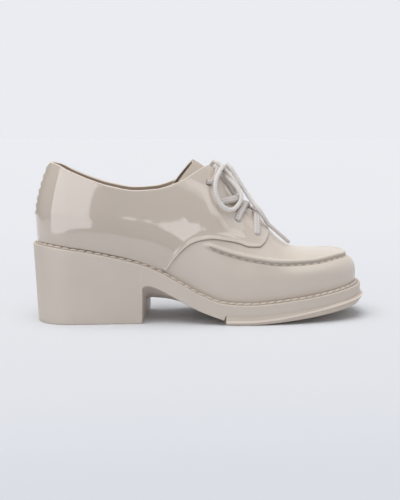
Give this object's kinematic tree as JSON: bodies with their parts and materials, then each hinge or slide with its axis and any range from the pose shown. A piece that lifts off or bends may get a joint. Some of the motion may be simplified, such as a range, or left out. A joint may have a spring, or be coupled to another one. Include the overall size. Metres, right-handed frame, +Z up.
{
  "type": "lace-up heeled shoe",
  "caption": "Moulded lace-up shoe for the right foot, with an apron toe, open lacing tied in a bow, a block heel and a separate forepart tread.",
  "frame": {"origin": "middle of the shoe's plan, on the floor under heel and forefoot", "axes": "+X from the heel to the toe, +Y to the inner side of the foot, +Z up"},
  "size_m": [0.264, 0.0892, 0.1245],
  "materials": {
    "upper": "high gloss on the quarters, satin on the vamp",
    "sole": "satin moulded",
    "tread": "satin moulded",
    "tongue": "satin moulded",
    "insole": "matte sheet",
    "lace": "round woven cord",
    "lace_tip": "shrunk plastic tip"
  },
  "bodies": {
    "root": {"upper": "upper", "sole": "sole", "outsole_forepart": "tread", "tongue": "tongue", "insole": "insole", "lace_bar_top": "lace", "lace_cross_upper": "lace", "lace_cross_lower": "lace", "lace_bar_front": "lace", "lace_knot": "lace", "lace_loop_near": "lace", "lace_loop_far": "lace", "lace_end_near": "lace", "lace_end_far": "lace", "aglet_near": "lace_tip", "aglet_far": "lace_tip"}
  },
  "joints": []
}
